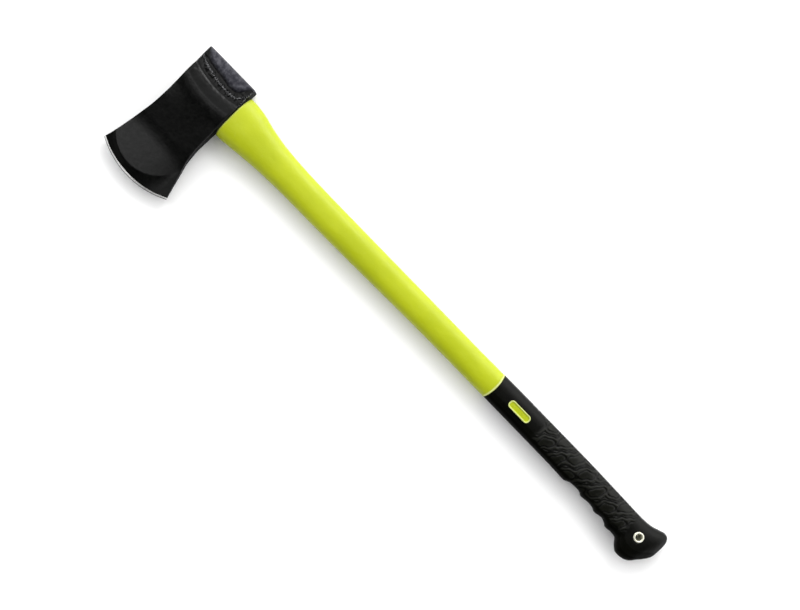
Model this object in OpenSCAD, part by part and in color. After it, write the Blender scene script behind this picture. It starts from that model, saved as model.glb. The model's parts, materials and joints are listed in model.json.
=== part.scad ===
// Flat-headed fire axe with a jacketed fibreglass handle.
// Frame: origin at the centre of the hanging hole, at mid thickness.
// +X runs up the handle to the head, +Y points to the cutting edge, +Z out of the cheek.

/* [Handle] */
// Distance from the hanging hole to the underside of the head
head_base = 691.2; // [640:0.2:760]
// Distance from the hanging hole to the top end of the rubber grip
grip_end = 242.3; // [234:0.1:290]
// Full thickness of the shaft
shaft_t = 25; // [23:0.5:27]
// Full thickness of the flared shoulder under the head
shoulder_t = 29; // [26:0.5:31]
// Full thickness of the rubber grip
grip_t = 27; // [26:0.5:29]
// Full thickness of the knob at the end of the handle
knob_t = 30; // [29:0.5:33]
// Height of the raised bead on the jacket above the grip
bead_h = 0.5; // [0:0.1:1]

/* [Fibreglass core] */
// Width of the core, from poll side to blade side
core_w = 20; // [18:0.5:22]
// Thickness of the core
core_t = 14; // [12:0.5:15]
// Distance from the hanging hole to the lower end of the core
core_start = 39; // [34:1:56]

/* [Jacket tail under the grip] */
// Width of the jacket where the rubber covers it
tail_w = 25; // [24:0.5:26]
// Thickness of the jacket where the rubber covers it
tail_t = 20; // [19:0.5:21]
// Distance from the hanging hole to the lower end of the jacket
tail_start = 19; // [16:1:28]

/* [Name panel] */
// Length of the yellow panel that shows through the rubber
panel_l = 32.4; // [24:0.2:38]
// Width of the panel
panel_w = 10; // [8:0.2:12]
// Corner radius of the panel
panel_r = 4.2; // [2:0.2:4.8]
// Width of the raised rim round the panel
panel_rim = 1.6; // [1:0.1:2.4]
// Height of the rim above the rubber
panel_proud = 0.5; // [0.2:0.1:0.8]
// Distance from the hanging hole to the middle of the panel
panel_x = 203.5; // [180:0.5:206]

/* [Hanging hole] */
// Radius of the clear hole through the eyelet
hole_r = 4; // [3:0.1:4.2]
// Wall thickness of the eyelet's tube
eyelet_wall = 0.7; // [0.5:0.1:1]
// Outer radius of the eyelet's rolled rim
rim_r = 6.5; // [6.2:0.1:7.3]
// Depth of the flat seat that the rim rests on, below the knob's surface
seat_drop = 1.6; // [1.2:0.1:2]

/* [Head] */
// Height of the head at the poll, along the handle
head_h = 74.5; // [68:0.5:82]
// Distance from the handle axis to the poll face
poll_reach = 43; // [41:0.5:48]
// Distance from the handle axis to the middle of the cutting edge
edge_reach = 135.9; // [130:0.1:142]
// Radius of the curved cutting edge
edge_r = 110; // [104:1:125]
// Thickness of the poll face
poll_t = 26; // [24:0.5:30]
// Thickness of the head across the eye
cheek_t = 32; // [30:0.5:36]
// Thickness of the blade where the ground bevel starts
blade_t = 9; // [7:0.5:10]
// Width of the ground bevel behind the cutting edge
bevel_w = 11.5; // [8:0.5:14]
// Width of the polished strip along the cutting edge
strip_w = 3; // [2:0.1:5]
// Thickness of the blade where the polished strip starts
strip_t = 4.4; // [2:0.1:5]
// Length of the eye, from poll side to blade side
eye_w = 42; // [38:0.5:44]
// Width of the eye between the cheeks
eye_t = 22; // [19:0.5:23]
// Thickness of the seal between the shoulder and the head
seal_h = 1; // [0.8:0.1:3]
// Depth of the resin's top below the top of the head
resin_drop = 1.2; // [0.5:0.1:3]

/* [Hidden] */
$fn = 48;

// Smallest step that keeps one cut clear of another
eps = 0.01;
// Offset of the eye, core and shoulder from the hole's axis, towards the poll
axis_y = -3;
// Middle of the name panel, across the handle
panel_y = -2.5;
// Lower end of the knob, and the middle of the cap over it
knob_end = -30.5;
knob_cap_y = -6.7;
// Thickness of the solid at the cutting edge
edge_t = 0.3;
// Sides of a handle section
sides = 36;
// Squareness of the handle's oval: 2 is an ellipse
oval = 2.35;

head_top = head_base + head_h;
shoulder_top = head_base - seal_h;
half_shaft = shaft_t / 2;
half_grip = grip_t / 2;
half_knob = knob_t / 2;
half_shoulder = shoulder_t / 2;
half_cheek = cheek_t / 2;

// Edge of the handle on the poll side, as [distance from the hole, y]
shaft_back = [
    [grip_end, -20.2], [grip_end + 40, -19.8], [head_base - 155, -19.8], [head_base - 115, -20.5],
    [head_base - 75, -22.7], [head_base - 45, -27.3], [head_base - 25, -32], [head_base - 8, -33.6],
    [shoulder_top, -33.6]
];
// Edge of the handle on the blade side
shaft_front = [
    [grip_end, 15.4], [grip_end + 75, 15.5], [head_base - 205, 18.2], [head_base - 155, 18.9],
    [head_base - 115, 19], [head_base - 75, 20.3], [head_base - 45, 22.7], [head_base - 25, 24.9],
    [head_base - 6, 26.6], [shoulder_top, 26.6]
];
// Half thickness of the shaft
shaft_side = [
    [grip_end, half_grip - 0.5], [grip_end + 60, half_shaft], [head_base - 130, half_shaft],
    [head_base - 60, half_shaft + 0.8], [head_base - 20, half_shoulder], [shoulder_top, half_shoulder]
];
// Palm side of the grip, from the knob's end to the jacket
grip_back = [
    [knob_end, -13.5], [-30.1, -18.5], [-28.3, -22.5], [-25.3, -25], [-22.3, -25.5], [-13.3, -23],
    [-6.3, -20.7], [1.7, -19.3], [12, -18.8], [47, -19.5], [107, -20.5], [222, -20.6], [grip_end, -20.2]
];
// Finger side of the grip: the knob's heel, then three hollows between four ridges
grip_front = [
    [knob_end, 0], [-29.5, 6], [-27.3, 10.5], [-23.3, 16], [-18.3, 22.2], [-13.3, 28.3], [-8.3, 30.9],
    [-1.3, 32.2], [3.7, 32], [6.7, 30.5], [11.7, 26], [15.7, 21.3], [18.7, 19.7], [24.7, 19.2], [33.2, 20],
    [36.7, 18], [44.7, 15.2], [55.2, 16.8], [61.7, 14.5], [67.7, 14], [79.7, 15.2], [84.7, 12.7],
    [90.7, 12.1], [100.7, 13], [104.7, 15.1], [109.7, 16.4], [133, 15.7], [grip_end, 15.4]
];
// Half thickness of the grip
grip_side = [
    [knob_end, 3], [-29.7, 7.5], [-27.3, 10.8], [-22.3, 13.4], [-13.3, half_knob - 0.2], [0, half_knob],
    [13, half_knob - 1.2], [29, half_grip], [grip_end - 30, half_grip], [grip_end, half_grip - 0.5]
];
// How far the seam between grip and jacket bows up the handle at its edges
seam_bow = 2.6;

// ---- curves ----

function row_below(x, pts, i = 0) =
    i >= len(pts) - 2 || x <= pts[i + 1][0] ? i : row_below(x, pts, i + 1);
function rise(pts, i) = (pts[i + 1][1] - pts[i][1]) / (pts[i + 1][0] - pts[i][0]);
// Slope at a point: level where the line turns back, so that it never overshoots
function slope(pts, i) =
    i == 0 ? rise(pts, 0)
    : i == len(pts) - 1 ? rise(pts, i - 1)
    : rise(pts, i - 1) * rise(pts, i) <= 0 ? 0
    : 2 / (1 / rise(pts, i - 1) + 1 / rise(pts, i));
// Value at x on a smooth curve through the points
function smooth(x, pts) =
    let(i = row_below(x, pts), w = pts[i + 1][0] - pts[i][0], u = (x - pts[i][0]) / w)
    pts[i][1] * (1 + 2 * u) * pow(1 - u, 2) + w * slope(pts, i) * u * pow(1 - u, 2)
    + pts[i + 1][1] * u * u * (3 - 2 * u) + w * slope(pts, i + 1) * u * u * (u - 1);
function curve(a) = sign(a) * pow(abs(a), 2 / oval);

// Points of one oval section of the handle, at x, between two edges
function section(x, back, front, side, grow = 0, bow = 0) = [
    for (k = [0 : sides - 1])
        let(a = 360 * k / sides, c = curve(cos(a)), s = curve(sin(a)))
        [x + bow * c * c, (front + back) / 2 + ((front - back) / 2 + grow) * c, (side + grow) * s]
];
function handle_ring(x, back, front, side, grow = 0, bow = 0) =
    section(x, smooth(x, back), smooth(x, front), smooth(x, side), grow, bow);
// Evenly spaced numbers from a to b
function steps(a, b, n) = [for (i = [0 : n]) a + (b - a) * i / n];

// Closed solid through a list of rings, with a fan over each end
module loft(rings, first_mid, last_mid) {
    n = len(rings[0]);
    count = len(rings);
    points = concat([for (ring = rings) each ring], [first_mid, last_mid]);
    walls = [
        for (i = [0 : count - 2], k = [0 : n - 1])
            let(a = i * n + k, b = i * n + (k + 1) % n)
            each [[a, b + n, b], [a, a + n, b + n]]
    ];
    first_cap = [for (k = [0 : n - 1]) [count * n, k, (k + 1) % n]];
    last_cap = [for (k = [0 : n - 1]) let(o = (count - 1) * n) [count * n + 1, o + (k + 1) % n, o + k]];
    polyhedron(points, concat(walls, first_cap, last_cap), convexity = 6);
}

// Bar of constant slot-shaped section, w wide and t thick, along X
module slot_bar(from, to, w, t) {
    translate([from, axis_y, 0]) rotate([90, 0, 90]) linear_extrude(to - from) {
        square([w - t, t], center = true);
        for (side = [-1, 1]) translate([side * (w - t) / 2, 0]) circle(d = t);
    }
}

// ---- head ----

// Centre of the cutting edge's arc
edge_mid_x = head_base + 36;
edge_mid_y = edge_reach - edge_r;
// Ends of the cutting edge
toe = [head_top + 13.4, 122];
heel = [head_base - 17.3, 123];

// Half thickness of the head: poll pad, valley behind it, swell of the eye, then the wedge to the blade
head_side = [
    [-poll_reach, poll_t / 2], [-31, poll_t / 2 + 1], [-24, poll_t / 2], [-13, poll_t / 2 - 0.4],
    [-3, half_cheek - 0.8], [3, half_cheek], [8, half_cheek - 0.4], [20, half_cheek - 2.4], [45, 10.4],
    [65, 7.9], [81, 6], [105, 5.4], [edge_reach - bevel_w, blade_t / 2], [edge_reach, blade_t / 2 - 0.6]
];
// Upper side of the head, from the poll to the toe
top_line = [
    [20, head_top - 1.2], [45, head_top - 0.3], [80, head_top + 4.6], [110, head_top + 10.2], [toe[1], toe[0]]
];
// Lower side of the head, from the poll to the heel
base_line = [
    [50, head_base], [70, head_base - 1.9], [90, head_base - 7.2], [110, head_base - 13], [heel[1], heel[0]]
];
// Cut across the corners of the poll face
corner = 2.4;

module head_outline() {
    edge_from = atan2(toe[1] - edge_mid_y, toe[0] - edge_mid_x);
    edge_to = atan2(heel[1] - edge_mid_y, heel[0] - edge_mid_x);
    polygon(concat(
        [[head_base, corner - poll_reach], [head_base + corner, -poll_reach]],
        [[head_top - corner, -poll_reach], [head_top, corner - poll_reach]],
        [for (y = steps(20, toe[1] - eps, 12)) [smooth(y, top_line), y]],
        [for (a = steps(edge_from, edge_to, 24)) [edge_mid_x, edge_mid_y] + edge_r * [cos(a), sin(a)]],
        [for (y = steps(heel[1] - eps, 50, 9)) [smooth(y, base_line), y]]
    ));
}

// Limits of thickness along the blade's curved edge: bevel, polished strip, edge
module edge_disc() {
    half_strip = strip_t / 2;
    slope = (blade_t / 2 - half_strip) / (bevel_w - strip_w);
    // The bevel's cone runs inwards until it clears the cheeks
    top = half_cheek + 1;
    inner = max(10, edge_r - strip_w - (top - half_strip) / slope);
    half_edge = edge_t / 2;
    rim = edge_r + 2 * eps;
    translate([edge_mid_x, edge_mid_y, 0]) rotate_extrude($fn = 180) polygon([
        [0, -top], [inner, -top], [edge_r - strip_w, -half_strip], [rim, -half_edge],
        [rim, half_edge], [edge_r - strip_w, half_strip], [inner, top], [0, top]
    ]);
}

module axe_head() {
    line = steps(-poll_reach, edge_reach, 60);
    color("#1d1e20") difference() {
        intersection() {
            translate([0, 0, -cheek_t / 2]) linear_extrude(cheek_t) head_outline();
            translate([head_base - 40, 0, 0]) rotate([90, 0, 90]) linear_extrude(head_h + 80)
                polygon(concat(
                    [for (y = line) [y, smooth(y, head_side)]],
                    [for (i = [len(line) - 1 : -1 : 0]) [line[i], -smooth(line[i], head_side)]]
                ));
            union() {
                edge_disc();
                translate([head_base - 50, -poll_reach - 10, -cheek_t])
                    cube([head_h + 100, poll_reach + 70, 2 * cheek_t]);
            }
        }
        slot_bar(head_base - 10, head_top + 10, eye_w, eye_t);
    }
}

// Cast resin that locks the core in the eye
module eye_resin() {
    color("#3a3a34") difference() {
        slot_bar(head_base, head_top - resin_drop, eye_w, eye_t);
        slot_bar(head_base - 1, head_top, core_w, core_t);
    }
}

// Soft dam between the shoulder and the head
module eye_seal() {
    color("#141414") difference() {
        slot_bar(shoulder_top, head_base, eye_w + 13, eye_t + 3);
        slot_bar(shoulder_top - 1, head_base + 1, core_w, core_t);
    }
}

// ---- handle ----

module fibreglass_core() {
    color("#c9b98a") slot_bar(core_start, head_top - resin_drop, core_w, core_t);
}

// Plate with round corners, lying in the XY plane round the panel's middle
module panel_plate(shrink, height) {
    l = panel_l - 2 * shrink;
    w = panel_w - 2 * shrink;
    r = panel_r - shrink;
    translate([panel_x, panel_y, 0]) linear_extrude(height) {
        square([l - 2 * r, w], center = true);
        square([l, w - 2 * r], center = true);
        for (x = [-1, 1], y = [-1, 1]) translate([x * (l / 2 - r), y * (w / 2 - r)]) circle(r);
    }
}

module handle_jacket() {
    ring_at = function(x, grow = 0, bow = 0) handle_ring(x, shaft_back, shaft_front, shaft_side, grow, bow);
    // The bead that the rubber butts against, then the shaft, then the shoulder's chamfer
    seam = [[0.2, bead_h, 1], [1.6, bead_h, 1], [2.6, 0, 0.9]];
    rings = concat(
        [ring_at(grip_end, 0, seam_bow)],
        [for (s = seam) ring_at(grip_end + s[0], s[1], seam_bow * s[2])],
        [for (x = steps(grip_end + 12, head_base - 130, 14)) ring_at(x)],
        [for (x = steps(head_base - 120, shoulder_top - 2.4, 17)) ring_at(x)],
        [ring_at(shoulder_top - 0.7, -0.7), ring_at(shoulder_top, -2)]
    );
    color("#d3e22e") difference() {
        union() {
            loft(rings, [grip_end, axis_y, 0], [shoulder_top, axis_y, 0]);
            slot_bar(tail_start, grip_end + 6, tail_w, tail_t);
            for (flip = [0, 1]) mirror([0, 0, flip]) difference() {
                panel_plate(0, half_grip + panel_proud);
                translate([0, 0, half_grip - 0.1]) panel_plate(panel_rim, 1);
            }
        }
        slot_bar(core_start, shoulder_top + 1, core_w, core_t);
    }
}

module rubber_grip() {
    ring_at = function(x, bow = 0) handle_ring(x, grip_back, grip_front, grip_side, 0, bow);
    // Closer rings over the knob's round end and the finger ridges
    stations = concat(
        [for (a = steps(0, 90, 7)) knob_end + 12 * (1 - cos(a))],
        steps(knob_end + 15, 20, 14), steps(23, 117, 34), steps(127, grip_end - 10, 8)
    );
    color("#17180f") difference() {
        loft(
            concat([for (x = stations) ring_at(x)], [ring_at(grip_end, seam_bow)]),
            [knob_end, knob_cap_y, 0], [grip_end, axis_y, 0]
        );
        slot_bar(tail_start, grip_end + 6, tail_w, tail_t);
        for (flip = [0, 1]) mirror([0, 0, flip]) panel_plate(0, 20);
        cylinder(h = 2 * knob_t, r = hole_r + eyelet_wall, center = true);
        for (flip = [0, 1]) mirror([0, 0, flip])
            translate([0, 0, half_knob - seat_drop]) cylinder(h = 10, r = rim_r + 0.3);
    }
}

// Metal tube through the knob, with its ends rolled over
module hang_eyelet() {
    roll = (rim_r - hole_r) / 2;
    seat = half_knob - seat_drop;
    color("#c9c9b4") rotate_extrude() polygon(concat(
        [for (a = steps(180, 0, 8)) [hole_r + roll + roll * cos(a), seat + 0.4 + roll * sin(a)]],
        [[rim_r, seat], [hole_r + eyelet_wall, seat], [hole_r + eyelet_wall, -seat], [rim_r, -seat]],
        [for (a = steps(0, 180, 8)) [hole_r + roll + roll * cos(a), -seat - 0.4 - roll * sin(a)]]
    ));
}

axe_head();
eye_seal();
eye_resin();
fibreglass_core();
handle_jacket();
rubber_grip();
hang_eyelet();
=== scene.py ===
"""Looks of the flat-headed fire axe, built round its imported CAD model.

Frame, as in the CAD: the origin is the middle of the hanging hole, +X runs up the handle to the head,
+Y points to the cutting edge and +Z out of the cheek. Lengths are in metres.
"""
import json
import math

import bpy
import numpy as np
from mathutils import Matrix, Vector, noise


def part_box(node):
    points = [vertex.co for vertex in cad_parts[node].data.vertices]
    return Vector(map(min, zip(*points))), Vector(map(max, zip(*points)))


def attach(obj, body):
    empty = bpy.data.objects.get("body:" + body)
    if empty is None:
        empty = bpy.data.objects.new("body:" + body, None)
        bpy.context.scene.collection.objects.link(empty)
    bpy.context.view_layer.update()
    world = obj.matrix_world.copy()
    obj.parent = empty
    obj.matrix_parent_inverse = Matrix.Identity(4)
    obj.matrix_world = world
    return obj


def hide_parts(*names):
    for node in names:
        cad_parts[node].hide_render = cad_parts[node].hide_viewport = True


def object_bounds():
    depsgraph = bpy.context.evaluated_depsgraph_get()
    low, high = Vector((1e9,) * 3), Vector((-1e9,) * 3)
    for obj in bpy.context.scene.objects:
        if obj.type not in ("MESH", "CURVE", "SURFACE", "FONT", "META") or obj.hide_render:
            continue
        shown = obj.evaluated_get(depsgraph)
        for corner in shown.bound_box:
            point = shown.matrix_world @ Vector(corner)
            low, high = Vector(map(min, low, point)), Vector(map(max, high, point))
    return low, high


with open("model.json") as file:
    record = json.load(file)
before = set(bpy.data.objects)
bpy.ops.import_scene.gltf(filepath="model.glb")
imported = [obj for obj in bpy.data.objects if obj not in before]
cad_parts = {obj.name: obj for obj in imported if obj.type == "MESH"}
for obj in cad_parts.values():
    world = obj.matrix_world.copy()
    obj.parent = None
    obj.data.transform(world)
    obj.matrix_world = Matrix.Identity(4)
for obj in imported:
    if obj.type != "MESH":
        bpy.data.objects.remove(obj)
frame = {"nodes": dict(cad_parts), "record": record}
cad_lo, cad_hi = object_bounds()

MM = 0.001
BODY = "root"

# -------------------- sizes

head_lo, head_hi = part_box("axe_head")
grip_lo, grip_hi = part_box("rubber_grip")
jacket_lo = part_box("handle_jacket")[0]
core_lo, core_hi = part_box("fibreglass_core")
resin_lo, resin_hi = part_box("eye_resin")
seal_lo, seal_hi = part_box("eye_seal")
eyelet_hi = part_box("hang_eyelet")[1]
hang_hole = next(m for m in frame["record"]["mounts"] if m["name"] == "hang_hole")

OVAL = 2.35                      # squareness of the handle's oval, where 2 is an ellipse
SEAM_BOW = 2.6 * MM              # how far the seam bows up the handle at its edges
SEAM_X = grip_hi.x - SEAM_BOW    # the seam between grip and jacket, in its middle
AXIS_Y = (core_lo.y + core_hi.y) / 2
TAIL_WIDTH = 25 * MM             # of the jacket's tail, inside the rubber
TAIL_THICK = 20 * MM
EYELET_WALL = 0.7 * MM
EDGE_RADIUS = 110 * MM           # of the curved cutting edge
EDGE_MID = Vector((resin_lo.x + 36 * MM, head_hi.y - EDGE_RADIUS, 0))
PANEL_RADIUS = 4.2 * MM          # of the corners of the yellow panels that show through the rubber


def panel_box():
    """Middle and size of the panel, from the CAD jacket's highest points below the seam."""
    jacket = frame["nodes"]["handle_jacket"].data
    points = [v.co for v in jacket.vertices if v.co.x < SEAM_X - 5 * MM]
    top = max(p.z for p in points)
    rim = np.array([p for p in points if p.z > top - 0.01 * MM])
    low, high = rim.min(0), rim.max(0)
    return (low + high) / 2, high - low


PANEL_MID, PANEL_SIZE = panel_box()


def smooth_curve(points):
    """A function through the points, level where they turn back, so that it never overshoots."""
    xs, ys = np.array(points, float).T
    width = np.diff(xs)
    rise = np.diff(ys) / width
    slope = np.concatenate([[rise[0]], np.zeros(len(xs) - 2), [rise[-1]]])
    turning = rise[:-1] * rise[1:] <= 0
    total = np.where(turning, 1, rise[:-1] + rise[1:])
    slope[1:-1] = np.where(turning, 0, 2 * rise[:-1] * rise[1:] / total)

    def at(x):
        x = np.clip(x, xs[0], xs[-1])
        i = np.clip(np.searchsorted(xs, x) - 1, 0, len(xs) - 2)
        w = width[i]
        u = (x - xs[i]) / w
        return (
            ys[i] * (1 + 2 * u) * (1 - u) ** 2 + w * slope[i] * u * (1 - u) ** 2
            + ys[i + 1] * u * u * (3 - 2 * u) + w * slope[i + 1] * u * u * (u - 1)
        )

    return at


def smoothstep(a, b, x):
    """0 below a, 1 above b and eased between them."""
    t = np.clip((x - a) / (b - a), 0, 1)
    return t * t * (3 - 2 * t)


def bump_at(x, middle, width):
    """A smooth hump of height 1."""
    return np.exp(-(((x - middle) / width) ** 2))


def wavy(points, size, seed, octaves=3):
    """Smooth seeded noise from about -1 to 1 at each point, with features of that size."""
    shift = Vector((seed * 13.7, seed * 7.1, seed * 3.3))
    flat = points.reshape(-1, 3)
    values = [noise.fractal(Vector(p) / size + shift, 1.0, 2.0, octaves) for p in flat]
    return np.array(values).reshape(points.shape[:-1])


# -------------------- mesh tools

def new_piece(name, verts, faces, materials, face_materials=None, sharp=38):
    """A smooth-shaded mesh object."""
    mesh = bpy.data.meshes.new(name)
    mesh.from_pydata([tuple(v) for v in verts], [], faces)
    for material in materials:
        mesh.materials.append(material)
    if face_materials is not None:
        mesh.polygons.foreach_set("material_index", face_materials)
    mesh.validate()
    piece = bpy.data.objects.new(name, mesh)
    bpy.context.scene.collection.objects.link(piece)
    shade(piece, sharp)
    return piece


def mark_points(piece, name, values):
    """Stores one number at each point of a piece, for its material to read."""
    attribute = piece.data.attributes.new(name, "FLOAT", "POINT")
    attribute.data.foreach_set("value", values.astype(np.float32))


def shade(piece, sharp):
    """Smooth shading, broken where faces meet at more than that angle in degrees."""
    piece.data.polygons.foreach_set("use_smooth", [True] * len(piece.data.polygons))
    piece.data.set_sharp_from_angle(angle=math.radians(sharp))


def grid_faces(rows, columns, closed=True, first=0):
    """Quads between rows of points; closed joins the last column to the first."""
    last = columns if closed else columns - 1
    return [
        (first + r * columns + c, first + r * columns + (c + 1) % columns,
         first + (r + 1) * columns + (c + 1) % columns, first + (r + 1) * columns + c)
        for r in range(rows - 1) for c in range(last)
    ]


def loft(rings):
    """Points and faces of a closed solid through rings, with a fan over each end."""
    rows, columns = rings.shape[:2]
    verts = np.concatenate([rings.reshape(-1, 3), [rings[0].mean(0)], [rings[-1].mean(0)]])
    faces = grid_faces(rows, columns)
    low, high, top = rows * columns, rows * columns + 1, (rows - 1) * columns
    faces += [(low, (c + 1) % columns, c) for c in range(columns)]
    faces += [(high, top + c, top + (c + 1) % columns) for c in range(columns)]
    return verts, faces


def on_side(rings, flip):
    """The rings as they are, or mirrored to the axe's far cheek."""
    return rings[:, ::-1] * (1, 1, -1) if flip else rings


def joined(parts):
    """One list of points and faces from several."""
    verts, faces = [], []
    for part_verts, part_faces in parts:
        start = sum(len(v) for v in verts)
        verts.append(np.asarray(part_verts, float))
        faces += [tuple(start + i for i in face) for face in part_faces]
    return np.concatenate(verts), faces


def carve(piece, tools, sharp=38):
    """Cuts each tool out of the piece and drops the tools."""
    for tool in tools:
        cut = piece.modifiers.new("cut", "BOOLEAN")
        cut.solver = "MANIFOLD"
        cut.operation = "DIFFERENCE"
        cut.object = tool
    depsgraph = bpy.context.evaluated_depsgraph_get()
    mesh = bpy.data.meshes.new_from_object(piece.evaluated_get(depsgraph))
    piece.modifiers.clear()
    piece.data = mesh
    for tool in tools:
        bpy.data.objects.remove(tool)
    shade(piece, sharp)


def slot_ring(x, width, thick, count=40):
    """Ring of points round a slot shape, centred on the core, across the handle at x."""
    radius = thick / 2
    reach = width / 2 - radius
    angles = np.linspace(-math.pi / 2, math.pi / 2, count // 2)
    right = np.stack([reach + radius * np.cos(angles), radius * np.sin(angles)], 1)
    outline = np.concatenate([right, -right])
    return np.column_stack([np.full(len(outline), x), outline[:, 0] + AXIS_Y, outline[:, 1]])


def slot_bar(x0, x1, width, thick):
    """Solid slot shape along the handle from x0 to x1."""
    return loft(np.array([slot_ring(x, width, thick) for x in (x0, x1)]))


def core_bar(x0, x1):
    """The room that the core fills between x0 and x1."""
    return slot_bar(x0, x1, core_hi.y - core_lo.y, core_hi.z - core_lo.z)


def tail_bar(x1):
    """The jacket's tail, from its low end to x1."""
    return slot_bar(jacket_lo.x, x1, TAIL_WIDTH, TAIL_THICK)


def finish_piece(piece, slot_name, *nodes):
    """Puts the piece on the body in place of those CAD nodes; slot_name is not used."""
    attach(piece, BODY)
    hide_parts(*nodes)


# -------------------- material tools

class Nodes:
    """Shorthand for building a node tree."""

    def __init__(self, tree):
        self.tree = tree

    def node(self, kind, **settings):
        made = self.tree.nodes.new(kind)
        for key, value in settings.items():
            setattr(made, key, value)
        return made

    def link(self, a, b):
        self.tree.links.new(a, b)

    def set_or_link(self, socket, value):
        """Feeds a socket from another socket, a colour or a number."""
        if isinstance(value, bpy.types.NodeSocket):
            self.link(value, socket)
        elif isinstance(value, tuple):
            socket.default_value = (*value, 1)
        else:
            socket.default_value = value

    def fit(self, value, low, high, to_low=0.0, to_high=1.0):
        """Maps low..high onto to_low..to_high, clamped and eased."""
        made = self.node("ShaderNodeMapRange", interpolation_type="SMOOTHSTEP")
        inputs = {"Value": value, "From Min": low, "From Max": high, "To Min": to_low, "To Max": to_high}
        for key, number in inputs.items():
            self.set_or_link(made.inputs[key], number)
        return made.outputs["Result"]

    def maths(self, operation, a, b):
        made = self.node("ShaderNodeMath", operation=operation)
        self.set_or_link(made.inputs[0], a)
        self.set_or_link(made.inputs[1], b)
        return made.outputs[0]

    def mix(self, factor, a, b):
        """Colour a where factor is 0, b where it is 1."""
        made = self.node("ShaderNodeMix", data_type="RGBA")
        # The colour sockets come after those for numbers and vectors, which have the same names
        self.link(factor, made.inputs[0])
        self.set_or_link(made.inputs[6], a)
        self.set_or_link(made.inputs[7], b)
        return made.outputs[2]


class Shader(Nodes):
    """A material whose look is built from nodes, in object space at real scale."""

    def __init__(self, name, **values):
        self.material = bpy.data.materials.new(name)
        self.material.use_nodes = True
        super().__init__(self.material.node_tree)
        self.bsdf = self.tree.nodes["Principled BSDF"]
        for key, value in values.items():
            self.bsdf.inputs[key.replace("_", " ")].default_value = value
        self.place = self.node("ShaderNodeTexCoord").outputs["Object"]

    def stretched(self, scale):
        """Object coordinates with each axis scaled, for grain that runs one way."""
        mapping = self.node("ShaderNodeMapping")
        mapping.inputs["Scale"].default_value = scale
        self.link(self.place, mapping.inputs["Vector"])
        return mapping.outputs["Vector"]

    def noise(self, size, detail=4, rough=0.55, place=None):
        """Noise from 0 to 1 with features of that size in metres."""
        made = self.node("ShaderNodeTexNoise")
        made.inputs["Scale"].default_value = 1 / size
        made.inputs["Detail"].default_value = detail
        made.inputs["Roughness"].default_value = rough
        self.link(place or self.place, made.inputs["Vector"])
        return made.outputs["Fac"]

    def cells(self, size):
        """Distance to the nearest of scattered points about that far apart in metres."""
        made = self.node("ShaderNodeTexVoronoi", feature="F1")
        made.inputs["Scale"].default_value = 1 / size
        self.link(self.place, made.inputs["Vector"])
        return made.outputs["Distance"]

    def mask(self, name):
        """The numbers that mark_points stored under that name."""
        return self.node("ShaderNodeAttribute", attribute_name=name).outputs["Fac"]

    def bumps(self, *layers):
        """Stacked bump, each layer as (height source, depth in metres)."""
        below = None
        for height, depth in layers:
            made = self.node("ShaderNodeBump")
            made.inputs["Distance"].default_value = depth
            self.link(height, made.inputs["Height"])
            if below:
                self.link(below, made.inputs["Normal"])
            below = made.outputs["Normal"]
        self.link(below, self.bsdf.inputs["Normal"])

    def feed(self, key, source):
        self.link(source, self.bsdf.inputs[key])


# -------------------- materials

def hi_viz_plastic():
    """Fluorescent yellow-green moulding: satin, finely spark-textured, paler on its rims as a painted
    highlight.
    """
    m = Shader("hi_viz_plastic", Specular_IOR_Level=0.32)
    cloud = m.fit(m.noise(0.045, 3), 0.35, 0.65)
    base = m.mix(cloud, (0.345, 0.400, 0.005), (0.375, 0.430, 0.007))
    dust = m.fit(m.noise(0.006, 6, 0.7), 0.58, 0.74, 0, 0.3)
    dusty = m.mix(dust, base, (0.41, 0.45, 0.05))
    # Paler on the seam's bead, the shoulder's lip and the panels' rims: painted highlight.
    m.feed("Base Color", m.mix(m.mask("painted_highlight"), dusty, (0.52, 0.56, 0.25)))
    scuff = m.noise(0.002, 5, 0.6, m.stretched((0.12, 1, 1)))
    m.feed("Roughness", m.fit(scuff, 0.4, 0.72, 0.34, 0.5))
    m.bumps((m.noise(0.009, 2), 0.0003), (m.cells(0.0009), 0.00004), (scuff, 0.00003))
    return m.material


def grip_rubber(name, shine):
    """Black moulded rubber: a stippled skin of that specular level, greyed a little on the raised crests as
    a painted highlight.
    """
    m = Shader(name, Specular_IOR_Level=shine)
    # Paler and a little glossier on the raised crests: painted highlight.
    painted_highlight = m.fit(m.mask("raised"), 0.30, 0.95)
    cloud = m.fit(m.noise(0.02, 4), 0.35, 0.7)
    base = m.mix(cloud, (0.0009, 0.0010, 0.0006), (0.0018, 0.0019, 0.0011))
    m.feed("Base Color", m.mix(painted_highlight, base, (0.0085, 0.0088, 0.0066)))
    grain = m.noise(0.0012, 4, 0.65)
    skin = m.fit(grain, 0.3, 0.75, 0.31, 0.44)
    m.feed("Roughness", m.maths("SUBTRACT", skin, m.maths("MULTIPLY", painted_highlight, 0.06)))
    m.bumps((m.noise(0.0028, 3, 0.6), 0.00016), (m.cells(0.0009), 0.00002), (grain, 0.00003))
    return m.material


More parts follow.
